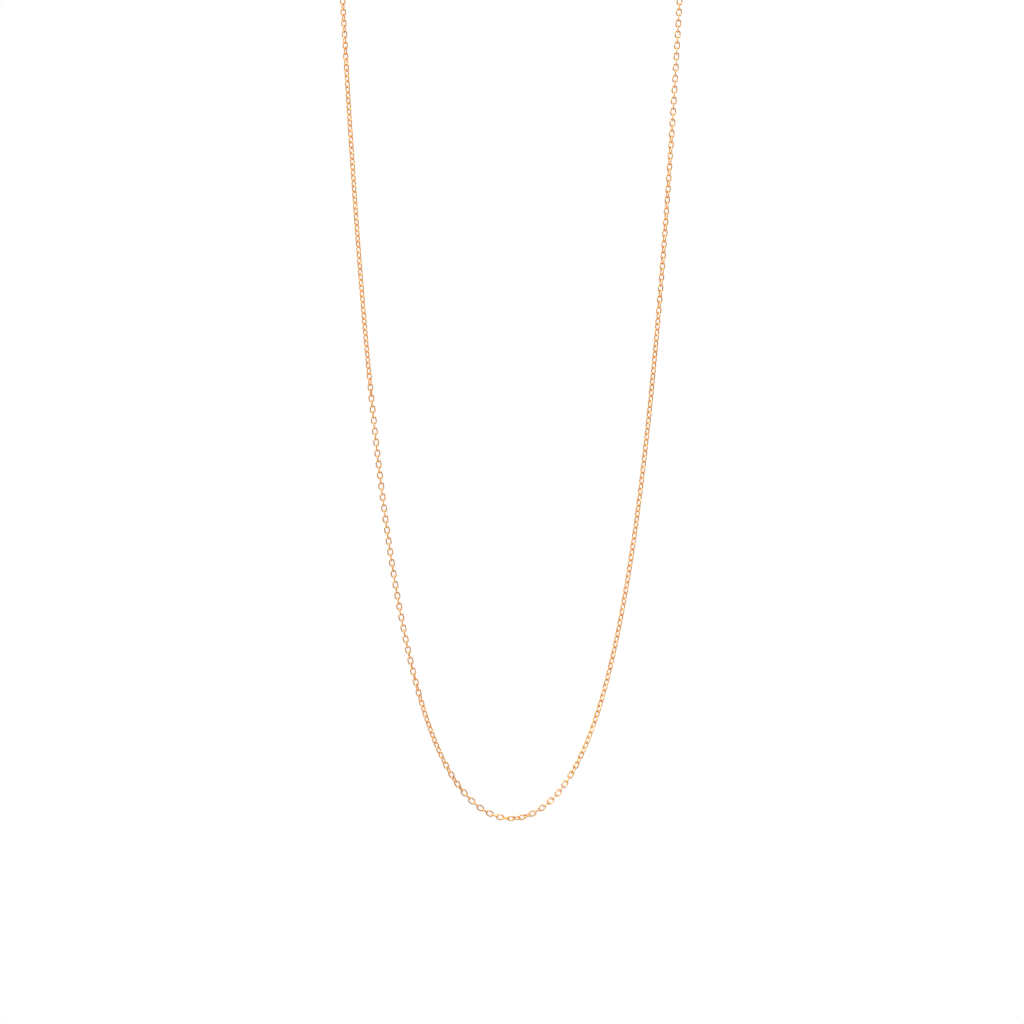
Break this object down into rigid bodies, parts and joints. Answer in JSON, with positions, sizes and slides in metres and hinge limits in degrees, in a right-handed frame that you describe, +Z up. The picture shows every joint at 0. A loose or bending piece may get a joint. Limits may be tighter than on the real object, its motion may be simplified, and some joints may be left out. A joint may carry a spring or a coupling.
{
  "type": "chain necklace",
  "caption": "Fine trace chain necklace in rose gold, fastened by a small lobster clasp, hanging in a long narrow curve.",
  "frame": {"origin": "middle of the horizontal half circle in which the chain lies round the back of its display form, level with the chain there", "axes": "+Z up, opposite to the hanging strands; +Y from the front strands towards the clasp at the back; +X to the right seen from the front"},
  "size_m": [0.0743, 0.0443, 0.1872],
  "materials": {
    "rose_gold": "polished",
    "spring_steel": "drawn wire"
  },
  "bodies": {
    "back_chain": {"left_shoulder_chain": "rose_gold", "right_shoulder_chain": "rose_gold", "left_side_chain": "rose_gold", "right_side_chain": "rose_gold", "left_back_chain": "rose_gold", "right_back_chain": "rose_gold", "clasp_body": "rose_gold", "trigger_pin": "rose_gold", "trigger_spring": "spring_steel"},
    "drop_01": {"left_strand_01": "rose_gold", "right_strand_01": "rose_gold"},
    "drop_02": {"left_strand_02": "rose_gold", "right_strand_02": "rose_gold"},
    "drop_03": {"left_strand_03": "rose_gold", "right_strand_03": "rose_gold"},
    "drop_04": {"left_strand_04": "rose_gold", "right_strand_04": "rose_gold"},
    "drop_05": {"left_strand_05": "rose_gold", "right_strand_05": "rose_gold"},
    "drop_06": {"left_strand_06": "rose_gold", "right_strand_06": "rose_gold"},
    "drop_07": {"left_strand_07": "rose_gold", "right_strand_07": "rose_gold"},
    "drop_08": {"left_strand_08": "rose_gold", "right_strand_08": "rose_gold"},
    "drop_09": {"left_strand_09": "rose_gold", "right_strand_09": "rose_gold"},
    "drop_10": {"left_strand_10": "rose_gold", "right_strand_10": "rose_gold"},
    "drop_11": {"left_strand_11": "rose_gold", "right_strand_11": "rose_gold"},
    "drop_12": {"left_strand_12": "rose_gold", "right_strand_12": "rose_gold"},
    "drop_13": {"left_strand_13": "rose_gold", "right_strand_13": "rose_gold"},
    "drop_14": {"left_strand_14": "rose_gold", "right_strand_14": "rose_gold"},
    "drop_15": {"left_strand_15": "rose_gold", "right_strand_15": "rose_gold"},
    "drop_16": {"left_strand_16": "rose_gold", "right_strand_16": "rose_gold"},
    "drop_17": {"left_strand_17": "rose_gold", "right_strand_17": "rose_gold"},
    "drop_18": {"left_strand_18": "rose_gold", "right_strand_18": "rose_gold"},
    "front_curve": {"left_curve": "rose_gold", "centre_curve": "rose_gold", "right_curve": "rose_gold"},
    "trigger": {"clasp_trigger": "rose_gold"},
    "jump_ring": {"clasp_jump_ring": "rose_gold"},
    "end_ring": {"end_ring": "rose_gold"}
  },
  "joints": [
    {"name": "fold_01", "type": "hinge", "parent": "back_chain", "child": "drop_01", "pos_m": [0, -0.00561, -0.00558], "axis": [1, 0, 0], "range_deg": [-28, 28]},
    {"name": "fold_02", "type": "hinge", "parent": "drop_01", "child": "drop_02", "pos_m": [0, -0.00559, -0.01501], "axis": [-1, 0, 0], "range_deg": [-28, 28]},
    {"name": "fold_03", "type": "hinge", "parent": "drop_02", "child": "drop_03", "pos_m": [0, -0.00559, -0.02443], "axis": [1, 0, 0], "range_deg": [-28, 28]},
    {"name": "fold_04", "type": "hinge", "parent": "drop_03", "child": "drop_04", "pos_m": [0, -0.00559, -0.03386], "axis": [-1, 0, 0], "range_deg": [-28, 28]},
    {"name": "fold_05", "type": "hinge", "parent": "drop_04", "child": "drop_05", "pos_m": [0, -0.00559, -0.04328], "axis": [1, 0, 0], "range_deg": [-28, 28]},
    {"name": "fold_06", "type": "hinge", "parent": "drop_05", "child": "drop_06", "pos_m": [0, -0.00559, -0.0527], "axis": [-1, 0, 0], "range_deg": [-28, 28]},
    {"name": "fold_07", "type": "hinge", "parent": "drop_06", "child": "drop_07", "pos_m": [0, -0.00559, -0.06211], "axis": [1, 0, 0], "range_deg": [-28, 28]},
    {"name": "fold_08", "type": "hinge", "parent": "drop_07", "child": "drop_08", "pos_m": [0, -0.00559, -0.07152], "axis": [-1, 0, 0], "range_deg": [-28, 28]},
    {"name": "fold_09", "type": "hinge", "parent": "drop_08", "child": "drop_09", "pos_m": [0, -0.00559, -0.08093], "axis": [1, 0, 0], "range_deg": [-28, 28]},
    {"name": "fold_10", "type": "hinge", "parent": "drop_09", "child": "drop_10", "pos_m": [0, -0.00559, -0.09033], "axis": [-1, 0, 0], "range_deg": [-28, 28]},
    {"name": "fold_11", "type": "hinge", "parent": "drop_10", "child": "drop_11", "pos_m": [0, -0.00559, -0.09972], "axis": [1, 0, 0], "range_deg": [-28, 28]},
    {"name": "fold_12", "type": "hinge", "parent": "drop_11", "child": "drop_12", "pos_m": [0, -0.00559, -0.10911], "axis": [-1, 0, 0], "range_deg": [-28, 28]},
    {"name": "fold_13", "type": "hinge", "parent": "drop_12", "child": "drop_13", "pos_m": [0, -0.00559, -0.11848], "axis": [1, 0, 0], "range_deg": [-28, 28]},
    {"name": "fold_14", "type": "hinge", "parent": "drop_13", "child": "drop_14", "pos_m": [0, -0.00559, -0.12783], "axis": [-1, 0, 0], "range_deg": [-28, 28]},
    {"name": "fold_15", "type": "hinge", "parent": "drop_14", "child": "drop_15", "pos_m": [0, -0.00559, -0.13715], "axis": [1, 0, 0], "range_deg": [-28, 28]},
    {"name": "fold_16", "type": "hinge", "parent": "drop_15", "child": "drop_16", "pos_m": [0, -0.00559, -0.14642], "axis": [-1, 0, 0], "range_deg": [-28, 28]},
    {"name": "fold_17", "type": "hinge", "parent": "drop_16", "child": "drop_17", "pos_m": [0, -0.00559, -0.15561], "axis": [1, 0, 0], "range_deg": [-28, 28]},
    {"name": "fold_18", "type": "hinge", "parent": "drop_17", "child": "drop_18", "pos_m": [0, -0.00559, -0.16466], "axis": [-1, 0, 0], "range_deg": [-28, 28]},
    {"name": "fold_19", "type": "hinge", "parent": "drop_18", "child": "front_curve", "pos_m": [0, -0.00559, -0.17337], "axis": [1, 0, 0], "range_deg": [-28, 28]},
    {"name": "trigger_press", "type": "hinge", "parent": "back_chain", "child": "trigger", "pos_m": [-0.00093, 0.03606, -0.00066], "axis": [0, -1, 0], "range_deg": [0, 20], "stiffness_Nm_per_rad": 0.0015, "springref_deg": -17.19},
    {"name": "jump_ring_roll", "type": "hinge", "parent": "back_chain", "child": "jump_ring", "pos_m": [-0.00416, 0.03606, 0], "axis": [1, 0, 0], "range_deg": [-15, 15]},
    {"name": "end_ring_roll", "type": "hinge", "parent": "back_chain", "child": "end_ring", "pos_m": [0.00433, 0.03606, 0], "axis": [1, 0, 0], "range_deg": [-8, 8]}
  ]
}
